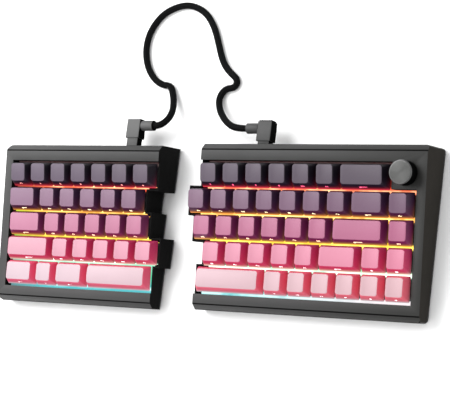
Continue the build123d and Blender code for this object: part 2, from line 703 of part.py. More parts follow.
ROW_NAMES = ["number", "upper", "home", "lower", "bottom"]
LEFT_SINGLE = {
    (0, 0): "escape_key",
    (1, 0): "tab_key",
    (2, 0): "caps_lock_key",
    (3, 0): "left_shift_key",
    (4, 0): "left_control_key",
    (4, 1): "system_key",
    (4, 2): "left_alt_key",
    (4, 3): "left_space_key",
}
RIGHT_SINGLE = {
    (0, 6): "backspace_key",
    (1, 7): "backslash_key",
    (1, 8): "delete_key",
    (2, 6): "enter_key",
    (2, 7): "page_up_key",
    (3, 5): "right_shift_key",
    (3, 6): "arrow_up_key",
    (3, 7): "page_down_key",
    (4, 0): "right_space_key",
    (4, 4): "arrow_left_key",
    (4, 5): "arrow_down_key",
    (4, 6): "arrow_right_key",
}


def key_nodes():
    """Each named key on its own, and the other keys of a row together."""
    caps = {}
    nodes = {}
    for side, single in (("left", LEFT_SINGLE), ("right", RIGHT_SINGLE)):
        for row, number, x, y, width in key_cells(side):
            group = f"{side}_{ROW_NAMES[row]}_row_keys"
            name = single.get((row, number), group)
            for solid in key_solids(width, row, caps):
                nodes.setdefault(name, []).append(on_key_plane(Pos(x, y, 0) * solid, side))
    return nodes


def fixed_nodes():
    nodes = {}
    for side in HALVES:
        cells = key_cells(side)
        housing = switch_housing()
        stabiliser = stabiliser_housing()
        housings = [on_key_plane(Pos(x, y, 0) * housing, side) for _, _, x, y, _ in cells]
        nodes[f"{side}_top_case"] = [top_case(side)]
        nodes[f"{side}_bottom_cover"] = [bottom_cover(side)]
        nodes[f"{side}_switch_plate"] = [switch_plate(side)]
        nodes[f"{side}_circuit_board"] = [circuit_board(side)]
        nodes[f"{side}_switch_housings"] = housings
        nodes[f"{side}_stabiliser_housings"] = [
            on_key_plane(Pos(x + offset, y, 0) * stabiliser, side)
            for _, _, x, y, width in cells
            for offset in stabiliser_offsets(width)
        ]
        nodes[f"{side}_lights"] = lights(side)
        nodes[f"{side}_rubber_feet"] = rubber_feet(side)
        nodes[f"{side}_case_screws"] = case_screws(side)
        nodes[f"{side}_link_socket"] = [socket(side, plug_x(side))]
        nodes[f"{side}_plug"] = [plug_housing(side)]
        nodes[f"{side}_plug_shell"] = [plug_shell(side)]
    nodes["host_socket"] = [socket("left", HOST_PORT_X)]
    nodes["encoder_body"] = [encoder_body()]
    nodes["encoder_rotor"] = [encoder_rotor()]
    nodes["encoder_shaft"] = [encoder_shaft()]
    nodes["volume_knob"] = [volume_knob()]
    nodes["link_cable"] = [link_cable()]
    return nodes


os.makedirs("parts", exist_ok=True)
for name, solids in {**fixed_nodes(), **key_nodes()}.items():
    shape = solids[0] if len(solids) == 1 else Compound(children=solids)
    export_step(shape, f"parts/{name}.step")
print(f"{TOTAL_WIDTH:.1f} mm wide and {TOTAL_DEPTH:.1f} mm deep")
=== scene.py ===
import bpy
import bmesh
import math
from mathutils import Matrix, Vector


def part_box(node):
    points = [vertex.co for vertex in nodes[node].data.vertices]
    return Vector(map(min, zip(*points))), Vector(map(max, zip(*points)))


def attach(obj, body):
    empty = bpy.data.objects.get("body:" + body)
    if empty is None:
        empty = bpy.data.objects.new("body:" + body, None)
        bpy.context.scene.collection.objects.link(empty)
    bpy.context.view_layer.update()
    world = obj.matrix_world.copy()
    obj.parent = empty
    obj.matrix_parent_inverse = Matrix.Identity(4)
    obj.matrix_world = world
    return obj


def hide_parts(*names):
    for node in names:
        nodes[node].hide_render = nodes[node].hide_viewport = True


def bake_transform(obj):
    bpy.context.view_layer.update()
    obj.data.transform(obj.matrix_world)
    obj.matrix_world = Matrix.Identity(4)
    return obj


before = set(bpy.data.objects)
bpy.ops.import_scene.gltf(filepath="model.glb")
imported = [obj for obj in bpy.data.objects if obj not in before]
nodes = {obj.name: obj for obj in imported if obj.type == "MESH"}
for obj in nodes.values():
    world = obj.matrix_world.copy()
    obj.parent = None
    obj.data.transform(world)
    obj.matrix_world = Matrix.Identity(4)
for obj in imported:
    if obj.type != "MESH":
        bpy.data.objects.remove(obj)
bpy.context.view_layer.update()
print("frame loaded:", len(nodes), "nodes")

# Metres, +Z up, as in the frame. Key rows are numbered 0 to 4 from the back.
layout = dict(
    pitch=0.01905,
    capGap=0.00095,
    lean=7.0,                 # of the key plane to the front, in degrees
    planeHeight=0.0276,
    lastRow=5.2,              # end of every ramp that runs from the back to the front, in rows
    splitX=-0.03,             # between the keys of the two halves
)

leanUp = Vector((0, -math.sin(math.radians(layout["lean"])), math.cos(math.radians(layout["lean"]))))

cameraSetup = dict(
    place=(0.67911, -0.18695, 1.08363),
    right=(0.85349, 0.12252, -0.50650),
    up=(-0.02127, 0.97934, 0.20108),
    forward=(-0.52067, 0.16085, -0.83846),
    lens=139.76,
    sensor=36.0,
)


def makeCamera(setup):
    data = bpy.data.cameras.new("photoCamera")
    data.lens = setup["lens"]
    data.sensor_width = setup["sensor"]
    data.clip_end = 20
    camera = bpy.data.objects.new("photoCamera", data)
    columns = (Vector(setup["right"]), Vector(setup["up"]), -Vector(setup["forward"]))
    turn = Matrix(columns).transposed().to_4x4()
    camera.matrix_world = Matrix.Translation(setup["place"]) @ turn
    bpy.context.scene.collection.objects.link(camera)
    bpy.context.scene.camera = camera


def newPiece(name, mesh, body, slotName, *replaced):
    piece = bpy.data.objects.new(name, mesh)
    bpy.context.scene.collection.objects.link(piece)
    if body:
        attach(piece, body)
    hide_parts(*replaced)
    return piece


def meshFrom(bm, name, sharpAngle=32):
    bmesh.ops.recalc_face_normals(bm, faces=bm.faces)
    mesh = bpy.data.meshes.new(name)
    bm.to_mesh(mesh)
    bm.free()
    mesh.shade_smooth()
    mesh.set_sharp_from_angle(angle=math.radians(sharpAngle))
    return mesh


# Shared shader effects

def newGroup(name, inputs, outputs):
    group = bpy.data.node_groups.new(name, "ShaderNodeTree")
    for label, kind, value in inputs:
        entry = group.interface.new_socket(label, in_out="INPUT", socket_type=kind)
        entry.default_value = value
    for label, kind in outputs:
        group.interface.new_socket(label, in_out="OUTPUT", socket_type=kind)
    source = group.nodes.new("NodeGroupInput")
    target = group.nodes.new("NodeGroupOutput")
    return group, source, target


def join(tree, outSocket, inSocket):
    tree.links.new(outSocket, inSocket)


def mathNode(tree, operation, first, second):
    node = tree.nodes.new("ShaderNodeMath")
    node.operation = operation
    for index, value in enumerate((first, second)):
        if isinstance(value, (int, float)):
            node.inputs[index].default_value = value
        else:
            join(tree, value, node.inputs[index])
    return node.outputs[0]


def mixColour(tree, factor, first, second, blend="MIX"):
    node = tree.nodes.new("ShaderNodeMix")
    node.data_type = "RGBA"
    node.blend_type = blend
    for socket, value in ((node.inputs[0], factor), (node.inputs[6], first), (node.inputs[7], second)):
        if isinstance(value, (int, float)):
            socket.default_value = value
        elif isinstance(value, tuple):
            socket.default_value = (*value, 1)
        else:
            join(tree, value, socket)
    return node.outputs[2]


def noise(tree, vector, scale, detail, roughness=0.6):
    node = tree.nodes.new("ShaderNodeTexNoise")
    node.inputs["Scale"].default_value = scale
    node.inputs["Detail"].default_value = detail
    node.inputs["Roughness"].default_value = roughness
    join(tree, vector, node.inputs["Vector"])
    return node.outputs["Fac"]


def ramp(tree, value, stops, high=1.0):
    spread = tree.nodes.new("ShaderNodeMapRange")
    spread.inputs["From Max"].default_value = high
    join(tree, value, spread.inputs["Value"])
    node = tree.nodes.new("ShaderNodeValToRGB")
    elements = node.color_ramp.elements
    while len(elements) > 1:
        elements.remove(elements[-1])
    for index, (place, colour) in enumerate(stops):
        share = place / high
        element = elements[0] if index == 0 else elements.new(share)
        element.position = share
        element.color = (*colour, 1)
    join(tree, spread.outputs[0], node.inputs[0])
    return node.outputs[0]


def rowRamp(tree, share, stops):
    return ramp(tree, share, stops, layout["lastRow"])


def makeGrainGroup():
    group, source, target = newGroup(
        "fineGrain",
        [("Scale", "NodeSocketFloat", 900.0), ("Depth", "NodeSocketFloat", 0.5)],
        [("Height", "NodeSocketFloat"), ("Mottle", "NodeSocketFloat")],
    )
    place = group.nodes.new("ShaderNodeTexCoord")
    fine = group.nodes.new("ShaderNodeTexNoise")
    fine.inputs["Detail"].default_value = 3.0
    join(group, place.outputs["Object"], fine.inputs["Vector"])
    join(group, source.outputs["Scale"], fine.inputs["Scale"])
    height = mathNode(group, "MULTIPLY", fine.outputs["Fac"], source.outputs["Depth"])
    join(group, height, target.inputs["Height"])
    join(group, noise(group, place.outputs["Object"], 45.0, 5.0), target.inputs["Mottle"])
    return group


def makeSmudgeGroup():
    group, source, target = newGroup(
        "handlingMarks",
        [("Amount", "NodeSocketFloat", 0.1), ("Base", "NodeSocketFloat", 0.45)],
        [("Roughness", "NodeSocketFloat")],
    )
    place = group.nodes.new("ShaderNodeTexCoord")
    broad = noise(group, place.outputs["Object"], 28.0, 6.0, 0.65)
    centred = mathNode(group, "SUBTRACT", broad, 0.5)
    scaled = mathNode(group, "MULTIPLY", centred, source.outputs["Amount"])
    join(group, mathNode(group, "ADD", scaled, source.outputs["Base"]), target.inputs["Roughness"])
    return group


grainGroup = makeGrainGroup()
smudgeGroup = makeSmudgeGroup()


def newMaterial(name, metallic=0.0, specular=0.5):
    material = bpy.data.materials.new(name)
    material.use_nodes = True
    tree = material.node_tree
    shader = tree.nodes["Principled BSDF"]
    shader.inputs["Metallic"].default_value = metallic
    shader.inputs["Specular IOR Level"].default_value = specular
    return material, tree, shader


def addGrain(tree, shader, scale, depth, distance=0.0001, strength=0.6):
    grain = tree.nodes.new("ShaderNodeGroup")
    grain.node_tree = grainGroup
    grain.inputs["Scale"].default_value = scale
    grain.inputs["Depth"].default_value = depth
    bump = tree.nodes.new("ShaderNodeBump")
    bump.inputs["Distance"].default_value = distance
    bump.inputs["Strength"].default_value = strength
    join(tree, grain.outputs["Height"], bump.inputs["Height"])
    join(tree, bump.outputs["Normal"], shader.inputs["Normal"])
    return grain.outputs["Mottle"]


def addSmudges(tree, shader, base, amount):
    smudge = tree.nodes.new("ShaderNodeGroup")
    smudge.node_tree = smudgeGroup
    smudge.inputs["Base"].default_value = base
    smudge.inputs["Amount"].default_value = amount
    join(tree, smudge.outputs["Roughness"], shader.inputs["Roughness"])


plain = dict(lift=1.25, sidedLift=1.2, sidedScale=2200.0, sidedDepth=0.6, smudges=0.12)


def plainFinish(name, colour, roughness, metallic=0.0, grainScale=1200.0, depth=0.5, specular=0.5):
    material, tree, shader = newMaterial(name, metallic, specular)
    mottle = addGrain(tree, shader, grainScale, depth)
    lighter = tuple(min(1.0, channel * plain["lift"]) for channel in colour)
    join(tree, mixColour(tree, mottle, colour, lighter), shader.inputs["Base Color"])
    addSmudges(tree, shader, roughness, plain["smudges"])
    return material


def objectPlace(tree):
    coordinates = tree.nodes.new("ShaderNodeTexCoord")
    parts = tree.nodes.new("ShaderNodeSeparateXYZ")
    join(tree, coordinates.outputs["Object"], parts.inputs[0])
    return coordinates.outputs["Object"], parts.outputs


# Key colours by the place between the back and the front, as the dye runs, with painted shade on the caps
# and painted light from the lamps

def keyFieldBack(side):
    # The back edge of a half's keys, half a gap behind its number row's caps.
    lean = math.radians(layout["lean"])
    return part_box(side + "_number_row_keys")[1].y + layout["capGap"] / 2 * math.cos(lean)


keysBack = keyFieldBack("right")

dyeAndShade = dict(
    leftCrowns=[              # at the left end of the object, row by row from the back; paler than the skirts partly by the dye and partly as painted highlight
        (0.9, (0.088, 0.066, 0.094)),
        (1.1, (0.190, 0.110, 0.164)),
        (1.9, (0.190, 0.110, 0.164)),
        (2.1, (0.354, 0.140, 0.212)),
        (2.9, (0.354, 0.140, 0.212)),
        (3.1, (0.446, 0.233, 0.284)),
        (3.9, (0.446, 0.233, 0.284)),
        (4.1, (0.432, 0.332, 0.367)),
    ],
    # at the right end: painted shade, darker than at the left end because the light falls off to the right
    rightCrowns=[
        (0.9, (0.060, 0.047, 0.062)),
        (1.1, (0.107, 0.060, 0.096)),
        (1.9, (0.107, 0.060, 0.096)),
        (2.1, (0.302, 0.088, 0.160)),
        (2.9, (0.302, 0.088, 0.160)),
        (3.1, (0.474, 0.148, 0.223)),
        (3.9, (0.474, 0.148, 0.223)),
        (4.1, (0.453, 0.280, 0.303)),
    ],
    # the skirts: darker than the crowns partly by the dye and partly as painted shade on the caps' sides
    leftSkirts=[
        (0.5, (0.005, 0.003, 0.007)),
        (1.5, (0.026, 0.008, 0.028)),
        (2.2, (0.066, 0.005, 0.034)),
        (2.9, (0.115, 0.008, 0.055)),
        (3.2, (0.310, 0.013, 0.063)),
        (3.9, (0.450, 0.022, 0.078)),
        (4.2, (0.560, 0.055, 0.125)),
        (4.9, (0.590, 0.068, 0.140)),
    ],
    # at the right end: painted shade, as for the crowns
    rightSkirts=[
        (0.5, (0.005, 0.003, 0.007)),
        (1.5, (0.032, 0.010, 0.034)),
        (2.2, (0.090, 0.006, 0.044)),
        (2.9, (0.150, 0.011, 0.070)),
        (3.2, (0.390, 0.022, 0.086)),
        (3.9, (0.520, 0.036, 0.108)),
        (4.2, (0.600, 0.085, 0.125)),
        (4.9, (0.640, 0.100, 0.140)),
    ],
    roughness=0.42,
)


# Painted light: the lamps' light on the plate between the caps, painted as emission by row and place, with
# painted shade in the right half's gaps
glow = dict(
    fringe=[                  # by row boundary, counted from the back
        (0.20, (0.03, 0.0, 0.0)),
        (0.50, (0.85, 0.04, 0.01)),
        (1.00, (1.00, 0.06, 0.01)),
        (1.60, (0.90, 0.12, 0.01)),
        (2.00, (1.00, 0.36, 0.02)),
        (3.00, (1.00, 0.62, 0.02)),
        (3.50, (0.30, 0.75, 0.12)),
        (4.00, (0.30, 0.90, 0.60)),
        (4.50, (0.10, 0.75, 0.42)),
        (5.00, (0.06, 0.55, 0.60)),
    ],
    core=[
        (0.20, (0.02, 0.0, 0.0)),
        (0.75, (1.20, 0.30, 0.14)),
        (1.00, (2.60, 1.55, 0.75)),
        (2.00, (2.60, 1.90, 0.55)),
        (3.00, (2.60, 2.10, 0.30)),
        (3.60, (1.60, 1.80, 1.10)),
        (4.00, (2.20, 2.30, 1.90)),
        (5.00, (0.80, 1.20, 1.20)),
    ],
    leftEnd=[                 # at the left half's outer end
        (0.20, (0.02, 0.0, 0.0)),
        (1.00, (0.30, 0.01, 0.01)),
        (2.00, (0.62, 0.80, 0.02)),
        (3.00, (0.32, 0.60, 0.03)),
        (4.00, (0.35, 0.50, 0.36)),
        (5.00, (0.10, 0.28, 0.30)),
    ],
    leftEndReach=0.030,
    coreReach=0.11,           # in rows, from a row boundary
    boundaryShift=0.03,       # in rows, of the light's middle to the back
    patchScale=60.0,
    sideGap=0.16,             # in rows, from where the right half's gaps are dark
    sideShade=0.85,
    footRow=4.75,             # from here on the light under the bottom row
    rightFoot=(1.10, 0.88, 0.92),
    rightFootShares=[(0.62, (0.0, 0.0, 0.0)), (0.90, (0.8, 0.8, 0.8))],
    # the marks' glow: painted light
    marks=[
        (0.9, (0.95, 0.06, 0.22)),
        (1.2, (1.0, 0.80, 0.45)),
        (2.0, (1.0, 0.80, 0.50)),
        (3.0, (1.0, 0.62, 0.42)),
        (3.4, (1.0, 0.85, 0.88)),
        (5.0, (1.0, 0.88, 0.92)),
    ],
    spill=[                   # painted light: emission on the front faces of the caps, strongest at their lower edge
        (0.60, (0.20, 0.0, 0.0)),
        (0.97, (1.10, 0.06, 0.10)),
        (1.30, (0.20, 0.02, 0.0)),
        (1.97, (1.20, 0.45, 0.06)),
        (2.30, (0.20, 0.06, 0.0)),
        (2.97, (1.10, 0.62, 0.06)),
        (3.30, (0.10, 0.06, 0.03)),
        (3.97, (0.75, 0.95, 0.72)),
        (4.30, (0.05, 0.10, 0.10)),
        (4.97, (0.30, 0.60, 0.60)),
    ],
    spillFall=4.0,
    markStrength=2.2,
    lampStrength=3.0,
)


def sideShare(tree, x):
    # 0 at the left end of the object, 1 at the right end.
    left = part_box("left_top_case")[0].x
    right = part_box("right_top_case")[1].x
    return mathNode(tree, "DIVIDE", mathNode(tree, "SUBTRACT", x, left), right - left)


def endShare(tree, x):
    # 1 at the outer end of the left half, 0 from a little way in.
    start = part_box("escape_key")[0].x
    way = mathNode(tree, "DIVIDE", mathNode(tree, "SUBTRACT", x, start), glow["leftEndReach"])
    way = mathNode(tree, "MAXIMUM", mathNode(tree, "MINIMUM", way, 1.0), 0.0)
    return mathNode(tree, "SUBTRACT", 1.0, way)


def rowShare(tree, y):
    # Rows from the back edge of the keys.
    fromBack = mathNode(tree, "SUBTRACT", keysBack, y)
    return mathNode(tree, "DIVIDE", fromBack, layout["pitch"] * math.cos(math.radians(layout["lean"])))


def makeDyedAndShadedCap():
    material, tree, shader = newMaterial("dyedAndShadedCap", specular=0.32)
    axes = objectPlace(tree)[1]
    share = rowShare(tree, axes[1])
    # painted light: the caps' front faces glow with emission near their feet, as if lit by the lamps
    # underneath
    foot = tree.nodes.new("ShaderNodeAttribute")
    foot.attribute_name = "footSpill"
    spill = mathNode(tree, "POWER", foot.outputs["Fac"], glow["spillFall"])
    facing = tree.nodes.new("ShaderNodeSeparateXYZ")
    directions = tree.nodes.new("ShaderNodeTexCoord")
    join(tree, directions.outputs["Normal"], facing.inputs[0])
    front = mathNode(tree, "MAXIMUM", mathNode(tree, "MULTIPLY", facing.outputs[1], -1.0), 0.0)
    join(tree, rowRamp(tree, share, glow["spill"]), shader.inputs["Emission Color"])
    join(tree, mathNode(tree, "MULTIPLY", spill, front), shader.inputs["Emission Strength"])
    # painted shade: the colours run from the left end's values to the darker right end's values
    across = sideShare(tree, axes[0])
    crown = mixColour(
        tree, across, rowRamp(tree, share, dyeAndShade["leftCrowns"]), rowRamp(tree, share, dyeAndShade["rightCrowns"])
    )
    skirt = mixColour(
        tree, across, rowRamp(tree, share, dyeAndShade["leftSkirts"]), rowRamp(tree, share, dyeAndShade["rightSkirts"])
    )
    # crown against skirt: partly the dye's two tones, partly painted highlight on the crowns and painted
    # shade on the sides
    tone = tree.nodes.new("ShaderNodeAttribute")
    tone.attribute_name = "crownTone"
    colour = mixColour(tree, tone.outputs["Fac"], skirt, crown)
    mottle = addGrain(tree, shader, 1500.0, 0.5, 0.00008, 0.5)
    soft = mathNode(tree, "MULTIPLY", mottle, 0.14)
    join(tree, mixColour(tree, soft, colour, (1.0, 0.92, 1.0), "SOFT_LIGHT"), shader.inputs["Base Color"])
    addSmudges(tree, shader, dyeAndShade["roughness"], 0.16)
    return material


def glowColour(tree):
    # The lamps' light colour by place; on the plate it is painted light, with painted shade where the right
    # half's gaps are dark
    place, axes = objectPlace(tree)
    share = rowShare(tree, axes[1])
    fringe = rowRamp(tree, share, glow["fringe"])
    core = rowRamp(tree, share, glow["core"])
    shifted = mathNode(tree, "ADD", share, glow["boundaryShift"])
    toBoundary = mathNode(tree, "PINGPONG", shifted, 0.5)
    near = mathNode(tree, "SUBTRACT", 1.0, mathNode(tree, "DIVIDE", toBoundary, glow["coreReach"]))
    near = mathNode(tree, "MAXIMUM", near, 0.0)
    uneven = noise(tree, place, glow["patchScale"], 2.0)
    patches = ramp(tree, uneven, [(0.40, (0.2, 0.2, 0.2)), (0.58, (1.0, 1.0, 1.0))])
    colour = mixColour(tree, mathNode(tree, "MULTIPLY", near, patches), fringe, core)
    inGap = mathNode(tree, "GREATER_THAN", toBoundary, glow["sideGap"])
    onRight = mathNode(tree, "GREATER_THAN", axes[0], 0.0)
    shade = mathNode(tree, "MULTIPLY", mathNode(tree, "MULTIPLY", inGap, onRight), glow["sideShade"])
    colour = mixColour(tree, shade, colour, (0.0, 0.0, 0.0))
    atFoot = mathNode(tree, "GREATER_THAN", share, glow["footRow"])
    toRight = ramp(tree, sideShare(tree, axes[0]), glow["rightFootShares"])
    colour = mixColour(tree, mathNode(tree, "MULTIPLY", atFoot, toRight), colour, glow["rightFoot"])
    ended = rowRamp(tree, share, glow["leftEnd"])
    return mixColour(tree, endShare(tree, axes[0]), colour, ended)


def makeGlowPaintedPlate():
    # Painted light: the plate glows with emission as if lit by the lamps under the caps
    material, tree, shader = newMaterial("glowPaintedPlate")
    join(tree, glowColour(tree), shader.inputs["Emission Color"])
    shader.inputs["Emission Strength"].default_value = 1.0
    mottle = addGrain(tree, shader, 900.0, 0.5)
    join(tree, mixColour(tree, mottle, (0.10, 0.10, 0.10), (0.14, 0.14, 0.14)), shader.inputs["Base Color"])
    shader.inputs["Roughness"].default_value = 0.5
    return material


def makeGlowingMark():
    # The marks are print; their glow is painted light, emission as if the lamps under the caps shone
    # through them.
    material, tree, shader = newMaterial("glowingMark")
    place, axes = objectPlace(tree)
    colour = rowRamp(tree, rowShare(tree, axes[1]), glow["marks"])
    uneven = ramp(tree, noise(tree, place, 700.0, 2.0), [(0.3, (0.6, 0.6, 0.6)), (0.7, (1.0, 1.0, 1.0))])
    join(tree, mixColour(tree, 1.0, colour, uneven, "MULTIPLY"), shader.inputs["Emission Color"])
    shader.inputs["Emission Strength"].default_value = glow["markStrength"]
    join(tree, colour, shader.inputs["Base Color"])
    addGrain(tree, shader, 2500.0, 0.4)
    return material


def makeLamp():
    material, tree, shader = newMaterial("lampBody")
    join(tree, glowColour(tree), shader.inputs["Emission Color"])
    shader.inputs["Emission Strength"].default_value = glow["lampStrength"]
    mottle = addGrain(tree, shader, 2000.0, 0.3)
    join(tree, mixColour(tree, mottle, (0.75, 0.72, 0.6), (0.9, 0.88, 0.8)), shader.inputs["Base Color"])
    return material


braidLook = dict(
    strands=[(0.0, (0.0008, 0.0008, 0.0008)), (1.0, (0.007, 0.007, 0.0075))],
    fibreScale=3500.0,
    fibreDepth=0.00008,
    roughness=0.62,
)


def makeBraid():
    material, tree, shader = newMaterial("braidedJacket", specular=0.03)
    weave = tree.nodes.new("ShaderNodeAttribute")
    weave.attribute_name = "strandRise"
    join(tree, ramp(tree, weave.outputs["Fac"], braidLook["strands"]), shader.inputs["Base Color"])
    fibre = noise(tree, objectPlace(tree)[0], braidLook["fibreScale"], 3.0)
    bump = tree.nodes.new("ShaderNodeBump")
    bump.inputs["Distance"].default_value = braidLook["fibreDepth"]
    join(tree, fibre, bump.inputs["Height"])
    join(tree, bump.outputs["Normal"], shader.inputs["Normal"])
    addSmudges(tree, shader, braidLook["roughness"], 0.15)
    return material


knobLook = dict(
    dark=(0.058, 0.059, 0.058),
    light=(0.080, 0.080, 0.078),
    ringScale=15600.0,
    ringDepth=0.00004,
    roughness=0.42,
)


def knobMatrix():
    low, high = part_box("encoder_rotor")
    return Matrix.Translation((low + high) / 2) @ Matrix.Rotation(math.radians(layout["lean"]), 4, "X")


def makeTurnedMetal():
    material, tree, shader = newMaterial("turnedMetal", metallic=0.85)
    coordinates = tree.nodes.new("ShaderNodeTexCoord")
    turn = tree.nodes.new("ShaderNodeMapping")
    turn.vector_type = "TEXTURE"
    turn.inputs["Location"].default_value = knobMatrix().translation
    turn.inputs["Rotation"].default_value = (math.radians(layout["lean"]), 0, 0)
    join(tree, coordinates.outputs["Object"], turn.inputs["Vector"])
    flat = tree.nodes.new("ShaderNodeVectorMath")
    flat.operation = "MULTIPLY"
    flat.inputs[1].default_value = (1, 1, 0)
    join(tree, turn.outputs[0], flat.inputs[0])
    radius = tree.nodes.new("ShaderNodeVectorMath")
    radius.operation = "LENGTH"
    join(tree, flat.outputs[0], radius.inputs[0])
    phase = mathNode(tree, "MULTIPLY", radius.outputs["Value"], knobLook["ringScale"])
    rings = tree.nodes.new("ShaderNodeMath")
    rings.operation = "SINE"
    join(tree, phase, rings.inputs[0])
    bump = tree.nodes.new("ShaderNodeBump")
    bump.inputs["Distance"].default_value = knobLook["ringDepth"]
    bump.inputs["Strength"].default_value = 0.5
    join(tree, rings.outputs[0], bump.inputs["Height"])
    join(tree, bump.outputs["Normal"], shader.inputs["Normal"])
    mottle = noise(tree, coordinates.outputs["Object"], 140.0, 5.0)
    join(tree, mixColour(tree, mottle, knobLook["dark"], knobLook["light"]), shader.inputs["Base Color"])
    addSmudges(tree, shader, knobLook["roughness"], 0.2)
    return material


def makeBoardMask():
    material, tree, shader = newMaterial("boardMask")
    traces = tree.nodes.new("ShaderNodeTexBrick")
    traces.inputs["Scale"].default_value = 160.0
    traces.inputs["Mortar Size"].default_value = 0.03
    traces.inputs["Color1"].default_value = (0.010, 0.016, 0.012, 1)
    traces.inputs["Color2"].default_value = (0.013, 0.020, 0.015, 1)
    traces.inputs["Mortar"].default_value = (0.030, 0.045, 0.030, 1)
    join(tree, objectPlace(tree)[0], traces.inputs["Vector"])
    join(tree, traces.outputs["Color"], shader.inputs["Base Color"])
    addGrain(tree, shader, 800.0, 0.3)
    addSmudges(tree, shader, 0.3, 0.1)
    return material


def sideShadedFinish(name, stops, roughness, specular):
    # A moulding whose tone changes from the left end of the object to the right end: painted light and
    # shade, as the light falls off to the right.
    material, tree, shader = newMaterial(name, specular=specular)
    mottle = addGrain(tree, shader, plain["sidedScale"], plain["sidedDepth"])
    axes = objectPlace(tree)[1]
    colour = ramp(tree, sideShare(tree, axes[0]), stops)
    lifted = mixColour(tree, 1.0, colour, (plain["sidedLift"],) * 3, "MULTIPLY")
    join(tree, mixColour(tree, mottle, colour, lifted), shader.inputs["Base Color"])
    addSmudges(tree, shader, roughness, plain["smudges"])
    return material


shadeTones = dict(                 # painted light and shade, by the share of the way from the left end to the right end
    # the case's top: painted shade, darker towards the right end
    shell=[(0.0, (0.042, 0.042, 0.042)), (0.7, (0.026, 0.026, 0.026)), (1.0, (0.016, 0.016, 0.015))],
    # the end, split and front walls: painted shade, lighter at the right end
    ends=[(0.6, (0.0090, 0.0090, 0.0090)), (1.0, (0.0270, 0.0250, 0.0225))],
    # the plugs: painted light, the left plug lighter than the right
    plug=[(0.42, (0.070, 0.070, 0.070)), (0.52, (0.034, 0.034, 0.034))],
)


finishes = dict(
    shell=sideShadedFinish("satinShell", shadeTones["shell"], 0.5, 0.25),
    ends=sideShadedFinish("shadedShell", shadeTones["ends"], 0.6, 0.0),
    creaseShade=plainFinish("rimCreaseShade", (0.006, 0.006, 0.006), 0.7, specular=0.0),
    cover=plainFinish("coverShell", (0.020, 0.020, 0.021), 0.6, grainScale=1400.0, depth=0.8),
    slider=plainFinish("keySlider", (0.35, 0.08, 0.05), 0.4),
    housing=plainFinish("switchHousing", (0.10, 0.10, 0.11), 0.3),
    rubber=plainFinish("footRubber", (0.012, 0.012, 0.012), 0.85, grainScale=900.0, depth=0.9),
    steel=plainFinish("plainSteel", (0.50, 0.50, 0.51), 0.3, metallic=1.0),
    plug=sideShadedFinish("plugMoulding", shadeTones["plug"], 0.55, 0.35),
    plugSideShade=plainFinish(
        "plugSideShade", (0.004, 0.004, 0.004), 0.6, grainScale=1800.0, depth=0.7, specular=0.0
    ),
    encoder=plainFinish("encoderMoulding", (0.03, 0.03, 0.03), 0.5),
    cap=makeDyedAndShadedCap(),
    plate=makeGlowPaintedPlate(),
    mark=makeGlowingMark(),
    lamp=makeLamp(),
    braid=makeBraid(),
    knob=makeTurnedMetal(),
    knobSideShade=plainFinish("knobSideShade", (0.0008, 0.0008, 0.0008), 0.6, specular=0.02),
    # painted highlight: the knob's rounded edges are lighter than its top
    knobRingHighlight=plainFinish("knobRingHighlight", (0.105, 0.105, 0.105), 0.4, metallic=0.9),
    board=makeBoardMask(),
)


def paint(target, *materials):
    if target.data.materials:
        target.data.materials.clear()
    for material in materials:
        target.data.materials.append(material)


# Link cable

cable = dict(
    diameter=0.0052,
    route=[
        (-0.05495, 0.075885, 0.016),
        (-0.0502, 0.075885, 0.016),
        (-0.0452, 0.08079, 0.0134),
        (-0.0442, 0.08819, 0.0096),
        (-0.0468, 0.09669, 0.0058),
        (-0.0502, 0.10419, 0.0034),
        (-0.0536, 0.11079, 0.0026),
        (-0.0616, 0.11119, 0.0026),
        (-0.0706, 0.11659, 0.0026),
        (-0.0786, 0.12819, 0.0026),
        (-0.0816, 0.14319, 0.0026),
        (-0.0784, 0.15679, 0.0026),
        (-0.0680, 0.16969, 0.0026),
        (-0.0490, 0.17559, 0.0026),
        (-0.0320, 0.16979, 0.0026),
        (-0.0214, 0.15719, 0.0026),
        (-0.0156, 0.14369, 0.0026),
        (-0.0104, 0.13019, 0.0026),
        (-0.0040, 0.12159, 0.0026),
        (0.0059, 0.11449, 0.0026),
        (0.0039, 0.10809, 0.0026),
        (-0.0044, 0.10779, 0.0026),
        (-0.0090, 0.09999, 0.0030),
        (-0.0044, 0.08899, 0.0062),
        (0.0060, 0.07909, 0.0110),
        (0.0174, 0.073685, 0.016),
        (0.027775, 0.073685, 0.016),
    ],
    strands=10,
    turnLength=0.0120,        # along the cable for one turn of a strand
    strandRise=0.00011,
    tubeFacets=28,            # of the bevel around the cable
    stepsPerPoint=26,
    stretchFrom=(-0.044, 0.16865, 0.0026),
    stretchTo=(-0.016, 0.16865, 0.0026),
)


def routeCurve(name, radius):
    data = bpy.data.curves.new(name, "CURVE")
    data.dimensions = "3D"
    data.resolution_u = cable["stepsPerPoint"]
    data.bevel_depth = radius
    data.bevel_resolution = cable["tubeFacets"]
    spline = data.splines.new("NURBS")
    spline.points.add(len(cable["route"]) - 1)
    for point, place in zip(spline.points, cable["route"]):
        point.co = (*place, 1)
    spline.order_u = 3
    spline.use_endpoint_u = True
    curve = bpy.data.objects.new(name, data)
    bpy.context.scene.collection.objects.link(curve)
    return curve


def meshOfCurve(curve):
    mesh = bpy.data.meshes.new_from_object(curve)
    bpy.data.objects.remove(curve)
    return mesh


